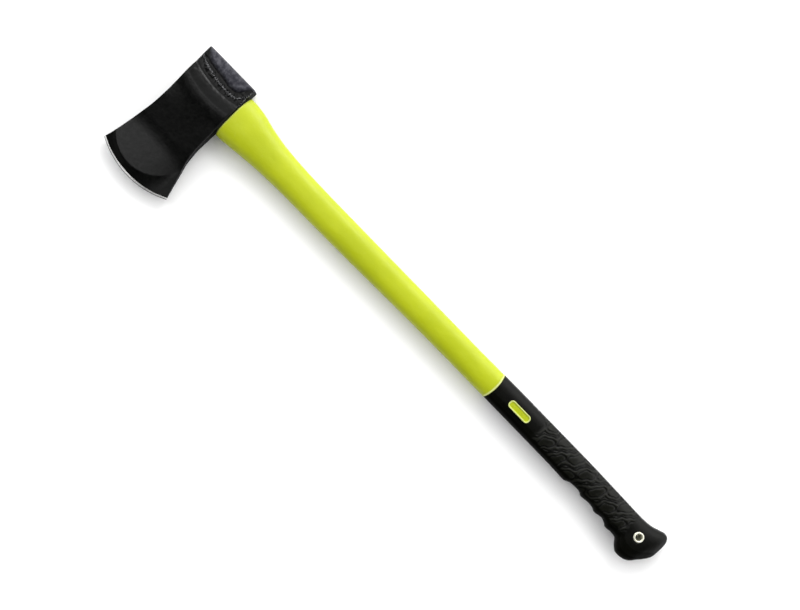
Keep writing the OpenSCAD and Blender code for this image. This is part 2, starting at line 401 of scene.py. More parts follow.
def head_paint(name, shine, dulling):
    """Black enamel, thin and blue-grey on the forged poll, where the scale's brightness is also a painted
    highlight, with metal showing on the high edges, partly as a painted highlight near the poll.

    shine is its specular level and dulling is added to its roughness.
    """
    m = Shader(name, Specular_IOR_Level=shine)
    peel = m.noise(0.0022, 3, 0.5)
    scale = m.noise(0.0042, 5, 0.6)
    blotch = m.fit(m.noise(0.016, 3), 0.38, 0.62)
    # Blue-grey forge scale on the pad and poll face; its brightness also stands in for their reflection as a
    # painted highlight, and it fades to enamel across the pad's slope.
    forge_scale_highlight = m.mask("forge_scale_highlight")
    worn_and_highlit = m.mask("wear_and_highlight")
    # Bare metal where edges and the scale ridge are worn; the extra edge wear towards the poll is a painted
    # highlight.
    chip_and_highlight_field = m.maths("ADD", m.maths("MULTIPLY", worn_and_highlit, 0.30), m.noise(0.0013, 3, 0.6))
    chips_and_rim_highlight = m.maths("MULTIPLY", m.fit(chip_and_highlight_field, 0.76, 0.84), m.fit(worn_and_highlit, 0.05, 0.4))
    enamel = m.mix(m.fit(scale, 0.35, 0.7), (0.0011, 0.0012, 0.0011), (0.0022, 0.0024, 0.0022))
    dull_scale = m.mix(m.fit(scale, 0.35, 0.65), (0.012, 0.012, 0.018), (0.030, 0.030, 0.038))
    bright_scale = m.mix(m.fit(scale, 0.35, 0.65), (0.028, 0.028, 0.036), (0.074, 0.074, 0.086))
    paint = m.mix(forge_scale_highlight, enamel, m.mix(blotch, dull_scale, bright_scale))
    m.feed("Base Color", m.mix(chips_and_rim_highlight, paint, (0.10, 0.10, 0.105)))
    sheen = m.fit(scale, 0.3, 0.7, 0.19 + dulling, 0.25 + dulling)
    m.feed("Roughness", m.maths("ADD", sheen, m.maths("MULTIPLY", forge_scale_highlight, 0.14)))
    rugged = m.maths("MULTIPLY", scale, m.maths("ADD", m.maths("MULTIPLY", forge_scale_highlight, 0.9), 0.08))
    m.bumps((rugged, 0.0005), (peel, 0.00004), (chips_and_rim_highlight, -0.00008))
    return m.material


def ground_steel():
    """Bare steel of the sharpened edge, with grinding marks across it."""
    m = Shader("ground_steel", Metallic=1.0)
    marks = m.noise(0.00035, 5, 0.7, m.stretched((1, 0.06, 0.06)))
    stain = m.noise(0.004, 4, 0.6)
    bright = m.mix(m.fit(marks, 0.3, 0.7), (0.72, 0.72, 0.71), (0.88, 0.88, 0.87))
    stained = m.mix(m.fit(stain, 0.58, 0.8, 0, 0.35), bright, (0.45, 0.43, 0.41))
    # A dark line along the very edge: painted shade.
    m.feed("Base Color", m.mix(m.mask("edge_shade"), stained, (0.16, 0.16, 0.16)))
    m.feed("Roughness", m.fit(marks, 0.3, 0.75, 0.24, 0.4))
    m.bumps((marks, 0.00003))
    return m.material


def eyelet_metal():
    """Nickel-plated pressed tube, satin, with dull patches."""
    m = Shader("eyelet_metal", Metallic=0.85)
    dull = m.noise(0.003, 5, 0.6)
    m.feed("Base Color", m.mix(m.fit(dull, 0.35, 0.7), (0.80, 0.80, 0.68), (0.62, 0.61, 0.50)))
    m.feed("Roughness", m.fit(dull, 0.3, 0.75, 0.34, 0.55))
    m.bumps((m.noise(0.0006, 3), 0.00002))
    return m.material


def seal_rubber():
    """Soft matt rubber, unevenly dark."""
    m = Shader("seal_rubber", Specular_IOR_Level=0.25)
    grain = m.noise(0.0015, 4)
    m.feed("Base Color", m.mix(grain, (0.004, 0.004, 0.004), (0.010, 0.010, 0.009)))
    m.feed("Roughness", m.fit(grain, 0.3, 0.7, 0.6, 0.8))
    m.bumps((grain, 0.0001))
    return m.material


def cast_resin():
    """Dark cast resin, glossy at its poured top, with small bubbles."""
    m = Shader("cast_resin", Coat_Weight=0.4, Coat_Roughness=0.15)
    bubbles = m.fit(m.cells(0.0022), 0.0, 0.22, 1, 0)
    flow = m.noise(0.008, 4)
    base = m.mix(flow, (0.028, 0.027, 0.022), (0.055, 0.052, 0.042))
    m.feed("Base Color", m.mix(bubbles, base, (0.015, 0.014, 0.012)))
    m.feed("Roughness", m.fit(flow, 0.3, 0.7, 0.18, 0.38))
    m.bumps((flow, 0.0003), (bubbles, -0.0002))
    return m.material


def fibreglass():
    """Pultruded bar: long glass strands in amber resin, sawn across at its end."""
    m = Shader("fibreglass", Coat_Weight=0.2)
    strands = m.noise(0.0006, 5, 0.7, m.stretched((0.02, 1, 1)))
    cloud = m.noise(0.012, 3)
    base = m.mix(m.fit(strands, 0.3, 0.7), (0.42, 0.34, 0.17), (0.70, 0.63, 0.42))
    m.feed("Base Color", m.mix(m.fit(cloud, 0.4, 0.7, 0, 0.4), base, (0.50, 0.46, 0.30)))
    m.feed("Roughness", m.fit(strands, 0.3, 0.7, 0.35, 0.6))
    m.bumps((strands, 0.00012))
    return m.material


HI_VIZ = hi_viz_plastic()
# The grip's rubber in three copies with falling specular level; the two duller ones are painted shade on the
# faces turned to the blade side.
RUBBER = grip_rubber("grip_rubber", 0.12)
RUBBER_HALF_SHADED = grip_rubber("grip_rubber_half_shaded", 0.06)
RUBBER_SHADED = grip_rubber("grip_rubber_shaded", 0.02)
PAINT = head_paint("head_paint", 0.17, 0.0)
# A duller copy of the head paint for the walls between the cheeks: painted shade, so they do not mirror the
# bright floor.
PAINT_SHADED_WALL = head_paint("head_paint_shaded_wall", 0.03, 0.35)
STEEL = ground_steel()
NICKEL = eyelet_metal()
SEAL = seal_rubber()
RESIN = cast_resin()
FIBREGLASS = fibreglass()


# -------------------- head

# Everything about the head's shape is in millimetres
TOE = (head_hi.x / MM, 122)          # x and y of the edge's upper end
HEEL = (head_lo.x / MM, 123)         # x and y of its lower end
BASE_X = resin_lo.x / MM             # underside of the head
HEAD_HEIGHT = 74.5
TOP_X = BASE_X + HEAD_HEIGHT
STRIP = 3.0                          # width of the polished strip at the middle of the edge
STRIP_HALF = 2.2                     # half thickness where the polished strip starts
SHARP_HALF = 0.1                     # half thickness at the cutting edge
BEVEL_RADIUS = 52.4                  # of the smile where the ground bevel starts
BEVEL_MID = (BASE_X + 45.5, 71.8)    # x and y of its centre
BEVEL_LEAST = 6                      # the bevel is never narrower than this
SWELL_ARC = 6                        # how far the eye's swell bends to the poll towards both ends
PAD_RISE = 1.2                       # of the striking pad over the cheek
RIDGE_RISE = 0.45                    # of the folded scale over the cheek
FLARE_Y = 50                         # rows are straight below this and curved above it
POLL_ROUNDING = 2.2                  # radius of the poll face's edges
WALL_STEPS = 14                      # points across the thickness of the head
POLL_ROWS = 9                        # rows of points in each stretch from poll to edge
BODY_ROWS = 118
FLARE_ROWS = 96
STRIP_ROWS = 9
HEAD_SHARP = 32                      # angle in degrees over which the head's edges shade as sharp
PAINT_SLOT, STEEL_SLOT, SHADED_WALL_SLOT = range(3)   # places in the head's list of materials

# Outline of the head from the side, as x at each y
head_top_line = smooth_curve([
    (-43, TOP_X), (20, TOP_X - 1.2), (45, TOP_X - 0.3), (80, TOP_X + 4.6), (110, TOP_X + 10.2),
    (TOE[1], TOE[0]), (136, TOE[0] + 4),
])
head_base_line = smooth_curve([
    (-43, BASE_X), (50, BASE_X), (70, BASE_X - 1.9), (90, BASE_X - 7.2), (110, BASE_X - 13),
    (HEEL[1], HEEL[0]), (136, HEEL[0] - 5.5),
])
# Half thickness along the middle: poll, valley behind it, swell of the eye, wedge, flat of the blade
head_profile = smooth_curve([
    (-43, 12.4), (-30, 13.0), (-24, 12.6), (-13, 12.4), (-9, 13.6), (-3, 15.1), (3, 15.75), (7, 15.5),
    (13, 14.8), (22, 13.3), (45, 10.1), (65, 7.6), (78, 6.05), (85, 5.6), (95, 5.3), (105, 5.05),
    (124, 4.6), (136, 4.2),
])
# The poll's raised striking pad: how far its crest and its foot are from the poll face, along the head
pad_crest = smooth_curve([
    (3, 0), (6, 1), (11, 7), (18, 13.5), (27, 13), (37, 11), (50, 9.5), (65, 7), (70, 2), (73, 0),
])
pad_foot = smooth_curve([
    (3, 3), (6, 8), (10, 15), (16, 19), (25, 20), (35, 18), (49, 16.4), (63, 14), (70, 7), (73, 3),
])


def cheek_crown(x, y):
    """How far the blade's flat falls away towards toe and heel."""
    return 1.5 * smoothstep(60, 105, y) * (np.abs(x - (BASE_X + 58)) / 60) ** 2.2


def edge_line(x):
    """y of the cutting edge at x."""
    radius = EDGE_RADIUS / MM
    return EDGE_MID.y / MM + np.sqrt(radius**2 - np.clip(x - EDGE_MID.x / MM, -80, 80) ** 2)


def bevel_line(x):
    """y where the ground bevel starts: a smile, tighter than the edge."""
    off = np.clip(np.abs(x - BEVEL_MID[0]), 0, 50)
    return BEVEL_MID[1] + np.sqrt(BEVEL_RADIUS**2 - off**2)


def head_half_thickness(x, y):
    """From the middle plane to the cheek at x and y, without the forging's unevenness."""
    # The swell of the eye is forged as an arc, and the arc fades out towards poll and blade
    arc = SWELL_ARC * ((x - (BASE_X + 30)) / 42) ** 2 * smoothstep(-40, -26, y) * (1 - smoothstep(10, 40, y))
    cheek = head_profile(y + arc) - cheek_crown(x, y)
    cheek = cheek + PAD_RISE * on_pad(x, y)
    # Ridge of folded scale behind the pad, steeper on the side of the poll
    ridge_y = ridge_line(x)
    ragged = 0.5 + 0.3 * np.sin(x * 1.1) + 0.25 * np.sin(x * 2.3 + 1)
    ridge = np.where(y < ridge_y, bump_at(y, ridge_y, 1.4), bump_at(y, ridge_y, 3.0))
    cheek = cheek + RIDGE_RISE * ragged * ridge
    # Ground bevel and polished strip
    edge = edge_line(x)
    behind = np.maximum(edge - y, 0)
    strip = STRIP * strip_share(x)
    start = np.minimum(bevel_line(x), edge - strip - BEVEL_LEAST)
    at_start = head_profile(start) - cheek_crown(x, start)
    bevel = STRIP_HALF + (at_start - STRIP_HALF) * (behind - strip) / (edge - start - strip)
    body = np.where(y > start, bevel, cheek)
    sharp = SHARP_HALF + (STRIP_HALF - SHARP_HALF) * behind / strip
    return np.where(behind < strip, sharp, np.maximum(body, STRIP_HALF * 0.95))


def on_pad(x, y):
    """1 on the raised striking pad, 0 behind its sloping side."""
    along = x - BASE_X
    from_poll = y - head_lo.y / MM
    return 1 - smoothstep(pad_crest(along), pad_foot(along), from_poll)


def ridge_line(x):
    """y of the ridge of folded scale, which turns back to the poll at its low end."""
    along = x - BASE_X
    return -18.3 - 5.5 * ((along - 24) / 36) ** 2 - 6 * (np.clip(14 - along, 0, 14) / 10) ** 2


def strip_share(x):
    """Width of the polished strip as a share of STRIP: it narrows towards toe and heel."""
    return 1 - 0.3 * np.clip(np.abs(x - EDGE_MID.x / MM) / 52, 0, 1) ** 2


def head_row_y(x, behind):
    """y of a row at x; behind is the row's distance from the edge at mid blade."""
    edge = edge_line(x)
    middle = head_hi.y / MM
    strip = STRIP * strip_share(x)
    share = (behind - STRIP) / (middle - FLARE_Y - STRIP)
    flared = edge - strip - share * (edge - strip - FLARE_Y)
    return np.where(
        behind <= STRIP, edge - behind * strip_share(x),
        np.where(behind < middle - FLARE_Y, flared, middle - behind),
    )


def head_section(behind, inset, columns=104, corner_steps=6):
    """Closed ring of the head at one row: cheek, corner, wall, corner, cheek, corner, wall, corner."""
    # Shares of the height, a little closer together near both walls
    u = (1 - np.cos(np.linspace(0, math.pi, columns))) / 2 * 0.35 + np.linspace(0, 1, columns) * 0.65
    # The row is curved, so each point's height and y settle together, from a rough start
    x = BASE_X + 75 * u
    for _ in range(12):
        y = head_row_y(x, behind)
        low = head_base_line(y) + inset
        high = head_top_line(y) - inset
        x = low + (high - low) * u
    thick = head_half_thickness(x, y) - inset
    radius = np.minimum(1.5 * (1 - 0.4 * smoothstep(0, 90, y)), 0.6 * thick)
    x_in = low + radius + (high - low - 2 * radius) * u
    angles = np.linspace(0, math.pi / 2, corner_steps + 1)[1:]

    def corner(end, direction):
        """Points round the corner past one end of the cheek."""
        r = radius[end]
        out = x_in[end] + direction * r * np.sin(angles)
        return np.column_stack([out, np.full(corner_steps, y[end]), thick[end] - r + r * np.cos(angles)])

    def wall(start, end):
        """Points across the thickness, between two corners."""
        t = np.linspace(0, 1, WALL_STEPS + 2)[1:-1, None]
        return start + (end - start) * t

    front = np.concatenate([corner(0, -1)[::-1], np.column_stack([x_in, y, thick]), corner(-1, 1)])
    back = front[::-1] * (1, 1, -1)
    return np.concatenate([front, wall(front[-1], back[0]), back, wall(back[-1], front[0])])


def end_cap(first, columns):
    """Faces that close one end ring, from the front cheek's points across to the back cheek's."""
    half = columns // 2
    cheek = half - WALL_STEPS
    last_back = first + half + cheek - 1
    faces = [(first + i, first + i + 1, last_back - i - 1, last_back - i) for i in range(cheek - 1)]
    for start in (cheek - 1, half + cheek - 1):
        faces.append(tuple(first + (start + k) % columns for k in range(WALL_STEPS + 2)))
    return faces


def head_rows():
    """Each row's distance from the edge at mid blade, and its inset for the poll's rounded rim."""
    middle = head_hi.y / MM
    poll = (head_hi.y - head_lo.y) / MM
    rows = [
        (poll - POLL_ROUNDING * (1 - math.cos(a)), POLL_ROUNDING * (1 - math.sin(a)))
        for a in np.linspace(0, math.pi / 2, POLL_ROWS)[:-1]
    ]
    rows += [(b, 0) for b in np.linspace(poll - POLL_ROUNDING, middle - FLARE_Y, BODY_ROWS)]
    rows += [(b, 0) for b in np.linspace(middle - FLARE_Y, STRIP, FLARE_ROWS)[1:]]
    rows += [(b, 0) for b in np.linspace(STRIP, 0, STRIP_ROWS)[1:]]
    return rows


def roughen(rings):
    """Adds the forging's unevenness, strongest round the poll, and the crumbs of scale on the ridge."""
    lump = wavy(rings, size=11, seed=1, octaves=2)
    fine = wavy(rings, size=3.5, seed=2, octaves=2)
    x = rings[..., 0]
    y = rings[..., 1]
    depth = np.abs(rings[..., 2])
    amount = 0.20 * (1 - smoothstep(-14, 6, y)) + 0.03
    amount = amount * (1 - smoothstep(105, 126, y)) * np.minimum(1, depth / 4)
    crumbs = wavy(rings, size=2.8, seed=4, octaves=3) * bump_at(y, ridge_line(x) + 0.5, 3.2) * (depth > 8)
    rings[..., 2] += np.sign(rings[..., 2]) * ((lump + 0.4 * fine) * amount + 0.55 * crumbs)


def build_head():
    """The forging: poll pad, scale ridge, eye swell, flared blade, bevel and polished edge."""
    rings = np.array([head_section(behind, inset) for behind, inset in head_rows()])
    roughen(rings)
    rings = np.clip(rings, np.array(head_lo) / MM, np.array(head_hi) / MM)
    rows, columns = rings.shape[:2]
    verts = rings.reshape(-1, 3) * MM
    faces = grid_faces(rows, columns)
    strip_from = (rows - STRIP_ROWS) * columns
    slots = [STEEL_SLOT if face[0] >= strip_from else PAINT_SLOT for face in faces]
    poll_cap = end_cap(0, columns)
    edge_cap = end_cap((rows - 1) * columns, columns)
    faces += [face[::-1] for face in poll_cap] + edge_cap
    slots += [PAINT_SLOT] * len(poll_cap) + [STEEL_SLOT] * len(edge_cap)
    piece = new_piece("head", verts, faces, [PAINT, STEEL, PAINT_SHADED_WALL], slots, sharp=HEAD_SHARP)
    eye = slot_bar(head_lo.x, head_hi.x + 10 * MM, resin_hi.y - resin_lo.y, resin_hi.z - resin_lo.z)
    carve(piece, [new_piece("eye_cutter", *eye, [PAINT])], HEAD_SHARP)
    mark_wear_and_painted_light(piece)
    finish_piece(piece, "head_steel", "axe_head")


def mark_wear_and_painted_light(piece):
    """Stores where the enamel is knocked off, with a painted highlight added along the edges near the poll;
    where the forge scale shows, its brightness also a painted highlight; and a painted shade along the
    cutting edge.

    The walls between the cheeks get a duller copy of the paint: painted shade, so that they do not mirror
    the bright floor.
    """
    co = np.zeros(len(piece.data.vertices) * 3)
    piece.data.vertices.foreach_get("co", co)
    x, y, z = (co.reshape(-1, 3) / MM).T
    half = head_half_thickness(x, y)
    depth = np.abs(z)
    from_side = np.minimum(x - head_base_line(y), head_top_line(y) - x)
    rim = bump_at(from_side, 0.7, 0.8) * smoothstep(half - 2.0, half - 0.6, depth)
    poll_rim = bump_at(y, -42.0, 1.3) * smoothstep(8, 11, depth)
    ridge = bump_at(y, ridge_line(x) - 0.2, 2.4) * smoothstep(8, 11, depth)
    # Edge wear, stronger towards the poll, where it is a painted highlight along the edges.
    rim_wear_and_highlight = rim * (0.3 + 0.75 * (1 - smoothstep(-22, -8, y)))
    wear_and_highlight = np.maximum.reduce([rim_wear_and_highlight, poll_rim * 0.8, ridge])
    # Forge scale on the pad and poll face, whose brightness is also a painted highlight.
    forge_scale_highlight = np.maximum(on_pad(x, y), 1 - smoothstep(-42, -40, y))
    # Painted shade along the last millimetre of the cutting edge.
    edge_shade = 1 - smoothstep(0.5, 1.1, edge_line(x) - y)
    # Painted shade: faces on the walls between the cheeks take the duller copy of the paint.
    side = 1 - smoothstep(half - 2.0, half - 0.7, depth)
    for name, values in (("wear_and_highlight", wear_and_highlight), ("forge_scale_highlight", forge_scale_highlight), ("edge_shade", edge_shade)):
        mark_points(piece, name, np.clip(values, 0, 1))
    for face in piece.data.polygons:
        if face.material_index == PAINT_SLOT and side[list(face.vertices)].mean() > 0.5:
            face.material_index = SHADED_WALL_SLOT


# -------------------- handle

def node_outline(node, low, side_gaps=()):
    """Curves of a handle node's lowest y, highest y and half thickness along x, read off its rings.

    Stations below low are left out, and in the side gaps the thickness is bridged.
    """
    co = np.array([v.co for v in frame["nodes"][node].data.vertices])
    stations = np.round(co[:, 0], 5)
    back, front, side = [], [], []
    for x in np.unique(stations):
        ring = np.unique(np.round(co[stations == x][:, 1:], 5), axis=0)
        inside_cut = abs(x - jacket_lo.x) < 0.1 * MM or abs(x - core_lo.x) < 0.1 * MM
        if len(ring) < 30 or inside_cut or x < low:
            continue
        back.append((x, ring[:, 0].min()))
        front.append((x, ring[:, 0].max()))
        if not any(a < x < b for a, b in side_gaps):
            side.append((x, ring[:, 1].max()))
    return [smooth_curve(points) for points in (back, front, side)]


def oval_ring(x, curves, angles, bow=0.0):
    """Points and outward directions of the handle's oval at x, bowed up the handle at its edges."""
    back, front, side = (float(curve(x)) for curve in curves)
    c = np.sign(np.cos(angles)) * np.abs(np.cos(angles)) ** (2 / OVAL)
    s = np.sign(np.sin(angles)) * np.abs(np.sin(angles)) ** (2 / OVAL)
    points = np.column_stack([x + bow * c * c, (front + back) / 2 + (front - back) / 2 * c, side * s])
    out_y = np.sign(c) * np.abs(c) ** (OVAL - 1) / ((front - back) / 2)
    out_z = np.sign(s) * np.abs(s) ** (OVAL - 1) / side
    out = np.column_stack([np.zeros(len(angles)), out_y, out_z])
    return points, out / np.linalg.norm(out, axis=1, keepdims=True)


def even_angles(count):
    """Angles once round a circle, in radians."""
    return np.linspace(0, 2 * math.pi, count, endpoint=False)


# How far the jacket stands proud, in mm: at the seam's bead by distance past the seam, and at the
# shoulder's lip by distance from its top
seam_bead = smooth_curve([
    (0, -0.1), (0.3, 0.45), (1.1, 0.75), (1.9, 0.45), (2.5, -0.15), (3.2, -0.1), (5, 0),
])
shoulder_lip = smooth_curve([
    (0, -2.6), (0.15, -2.1), (0.7, -1.1), (1.6, -0.35), (2.6, 0), (3.4, 0.05), (4.6, 0),
])
BEAD_STATIONS = np.array([0, 0.15, 0.5, 1.0, 1.5, 1.9, 2.3, 2.7, 3.2, 4.0, 6.0])
LIP_STATIONS = np.array([4.6, 4.2, 3.8, 3.4, 3.0, 2.6, 2.1, 1.6, 1.1, 0.7, 0.4, 0.15, 0])
SHAFT_STATIONS = 150
JACKET_SHARP = 40


def sunken(rings):
    """Rings with the slight waves that a thick moulding has where it shrank."""
    sink = wavy(rings, size=0.06, seed=3, octaves=2)[..., None] * 0.12 * MM
    centre = np.zeros_like(rings)
    centre[..., 0] = rings[..., 0]
    centre[..., 1] = rings[..., 1].mean(1, keepdims=True)
    away = rings - centre
    return rings + away / np.linalg.norm(away, axis=2, keepdims=True) * sink


def build_jacket():
    """Yellow-green moulding: seam bead, shaft, flared shoulder with its lip, tail and parting line."""
    curves = node_outline("handle_jacket", SEAM_X - MM)
    angles = even_angles(128)
    top = seal_lo.x
    stations = np.concatenate([
        SEAM_X + BEAD_STATIONS * MM,
        np.linspace(SEAM_X + 10 * MM, top - 5.2 * MM, SHAFT_STATIONS),
        top - LIP_STATIONS * MM,
    ])
    rings = []
    for x in stations:
        past = (x - SEAM_X) / MM
        bow = SEAM_BOW * (1 - smoothstep(2.5, 14, past))
        points, out = oval_ring(x, curves, angles, bow)
        lift = float(seam_bead(past)) if past < 5 else 0.0
        lift += float(shoulder_lip((top - x) / MM)) if top - x < 4.6 * MM else 0.0
        parting = 0.14 * (bump_at(np.abs(np.sin(angles)), 0, 0.035)) * smoothstep(4, 8, past)
        rings.append(points + out * (lift + parting)[:, None] * MM)
    rings = sunken(np.array(rings))
    rings[..., 0] = np.minimum(rings[..., 0], top)
    piece = new_piece("jacket", *loft(rings), [HI_VIZ], sharp=JACKET_SHARP)
    # Painted highlight, pale on the bead and, less, on the lip; the two last points are the middles of the
    # ends
    past = (stations - SEAM_X) / MM
    rim = np.maximum(0.9 * bump_at(past, 1.2, 0.9), 0.35 * bump_at(past, (top - SEAM_X) / MM - 1.3, 1.0))
    mark_points(piece, "painted_highlight", np.concatenate([np.repeat(rim, len(angles)), [0, 0]]))
    tail = new_piece("jacket_tail", *tail_bar(SEAM_X + 3 * MM), [HI_VIZ])
    add = piece.modifiers.new("tail", "BOOLEAN")
    add.solver = "MANIFOLD"
    add.operation = "UNION"
    add.object = tail
    core = new_piece("core_cutter", *core_bar(core_lo.x, top + MM), [HI_VIZ])
    # Carving applies the union with the tail too
    carve(piece, [core], JACKET_SHARP)
    bpy.data.objects.remove(tail)
    finish_piece(piece, "hi_viz_plastic", "handle_jacket")


def round_rect(length, width, radius, count=12):
    """Outline of a rectangle with round corners, about the origin."""
    points = []
    for sx, sy, start in ((1, 1, 0), (-1, 1, 90), (-1, -1, 180), (1, -1, 270)):
        for a in np.radians(np.linspace(start, start + 90, count)):
            points.append((sx * (length / 2 - radius) + radius * math.cos(a),
                           sy * (width / 2 - radius) + radius * math.sin(a)))
    return np.array(points)


# Section of a panel from its rim inwards: inset from its outline and height over the skin, in mm
PANEL_SECTION = [
    (0.0, -0.1), (0.1, 0.25), (0.35, 0.45), (0.8, 0.5), (1.2, 0.42), (1.5, 0.1), (1.7, -0.3),
    (1.9, -0.45), (2.4, -0.5), (4.0, -0.46),
]
# Section of a bar on the panel's floor: share of its outline and height over the skin, in mm
BAR_SECTION = [(1.0, -0.8), (1.0, -0.35), (0.8, -0.25), (0.4, -0.22)]
BAR_SLANT = 0.45
BAR_PITCH = 2.6                      # from bar to bar, in mm
BARS_EACH_WAY = 4                    # from the middle one


def panel_ring(outline, height):
    """Ring of points at that height, from an outline given about the panel's middle."""
    return np.column_stack([outline + PANEL_MID[:2], np.full(len(outline), height)])


def panel_plate(side_z, foot_z, flip):
    """One panel: wall, round rim, and a floor sunk inside the rim."""
    levels = [(0.0, foot_z)] + [(inset, side_z + height * MM) for inset, height in PANEL_SECTION]
    rings = []
    for inset, z in levels:
        shrink = 2 * inset * MM
        radius = max(PANEL_RADIUS - inset * MM, 0.2 * MM)
        outline = round_rect(PANEL_SIZE[0] - shrink, PANEL_SIZE[1] - shrink, radius)
        rings.append(panel_ring(outline, z))
    return loft(on_side(np.array(rings), flip))


def panel_bar(side_z, place, flip):
    """One slanted bar on a panel's floor; place counts from the middle bar."""
    bar = round_rect(1.1 * MM, 3.6 * MM, 0.5 * MM, 5)
    bar[:, 0] += BAR_SLANT * bar[:, 1]
    middle = (PANEL_MID[0] + place * BAR_PITCH * MM, PANEL_MID[1])
    rings = [
        np.column_stack([bar * share + middle, np.full(len(bar), side_z + height * MM)])
        for share, height in BAR_SECTION
    ]
    return loft(on_side(np.array(rings), flip))


def build_panels(side_z):
    """The jacket's two raised panels, one on each side, each with a row of plain slanted bars."""
    parts = []
    for flip in (False, True):
        parts.append(panel_plate(side_z, core_hi.z + 2 * MM, flip))
        parts += [panel_bar(side_z, k, flip) for k in range(-BARS_EACH_WAY, BARS_EACH_WAY + 1)]
    verts, faces = joined(parts)
    piece = new_piece("name_panels", verts, faces, [HI_VIZ], sharp=50)
    rim = smoothstep(side_z - 0.1 * MM, side_z + 0.3 * MM, np.abs(verts[:, 2]))
    # Painted highlight round each panel's rim.
    mark_points(piece, "painted_highlight", 0.7 * rim)
    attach(piece, BODY)


LEAF_SIZE = (5.0, 10.5)              # half width and half length of a moulded leaf, in mm
LEAF_GAPS = (19.0, 24.0)             # from leaf to leaf across and along the rows, in mm
LEAF_START = (89.4, 74.4)            # where one leaf sits on the slanted grid, in mm
RIB_GAP = 0.8                        # from rib to rib, as a share of the leaf
GROOVE_DEPTH = 1.1                   # of the pattern, in mm
SHADE_BANDS = (0.15, 0.45)           # how far the rubber faces the blade side where a duller copy takes over: painted shade
GRIP_SHARP = 60
SEAT_DEPTH = 1.75 * MM               # from the eyelet's crest to the rubber below its rolled rim
# Section of the seat: radius past the eyelet's rim and height over the seat's floor, in mm
SEAT_SECTION = [(0, 0), (0, 0.9), (0.5, 1.5), (2, 3), (2, 8)]
PLAIN_FROM = PANEL_MID[0] - 22 * MM  # past here the grip is smooth and needs fewer stations


def leaf_relief(x, y):
    """Moulded leaves with ribs that bend round them, 0 in the grooves to 1, at x and y in mm."""
    across = (x - y) / math.sqrt(2) - LEAF_START[0]
    along = (x + y) / math.sqrt(2) - LEAF_START[1]
    across, along = (
        across + 1.1 * np.sin(0.26 * along + 1.0) + 0.5 * np.sin(0.61 * along) - 0.9,
        along + 1.6 * np.sin(0.33 * across),
    )
    row = np.round(across / LEAF_GAPS[0])
    a = (across - row * LEAF_GAPS[0]) / LEAF_SIZE[0]
    along = along + np.mod(row, 2) * LEAF_GAPS[1] / 2
    b = (along - np.round(along / LEAF_GAPS[1]) * LEAF_GAPS[1]) / LEAF_SIZE[1]
    from_leaf = np.hypot(a, b)
    leaf = 1 - smoothstep(0.82, 1.0, from_leaf)
    ribs = 0.5 - 0.5 * np.cos(2 * math.pi * (from_leaf - 1.0) / RIB_GAP)
    return np.maximum(leaf * (0.5 + 0.3 * from_leaf), ribs * (from_leaf > 1.0))


def grip_stations():
    """Stations along the grip: close at the rounded end and over the pattern, and at the bowed seam."""
    nose = grip_lo.x
    return np.concatenate([
        nose + 12 * MM * (1 - np.cos(np.linspace(0, math.pi / 2, 26))),
        np.arange(nose + 12.5 * MM, PLAIN_FROM, 0.45 * MM),
        np.arange(PLAIN_FROM, SEAM_X - 10.5 * MM, 1.0 * MM),
        np.linspace(SEAM_X - 10 * MM, SEAM_X, 18),
    ])


def grip_tools():
    """What is cut out of the rubber: the tail's room, the windows, and the eyelet's seats and bore."""
    tools = [new_piece("tail_cutter", *tail_bar(SEAM_X + 8 * MM), [RUBBER])]
    seat_floor = eyelet_hi.z - SEAT_DEPTH
    seat_radius = eyelet_hi.x + 0.3 * MM
    seat = [(seat_radius + r * MM, seat_floor + z * MM) for r, z in SEAT_SECTION]
    window = round_rect(PANEL_SIZE[0] + 0.3 * MM, PANEL_SIZE[1] + 0.3 * MM, PANEL_RADIUS + 0.15 * MM)
    for flip in (False, True):
        rings = np.array([panel_ring(window, z) for z in (core_hi.z, grip_hi.z + 5 * MM)])
        tools.append(new_piece("window_cutter", *loft(on_side(rings, flip)), [RUBBER]))
        tools.append(lathe_piece("seat_cutter", seat, flip, [RUBBER]))
    tube_radius = hang_hole["dims"]["r_mm"] * MM + EYELET_WALL
    bore = [(tube_radius, -20 * MM), (tube_radius, 20 * MM)]
    tools.append(lathe_piece("bore_cutter", bore, False, [RUBBER]))
    return tools


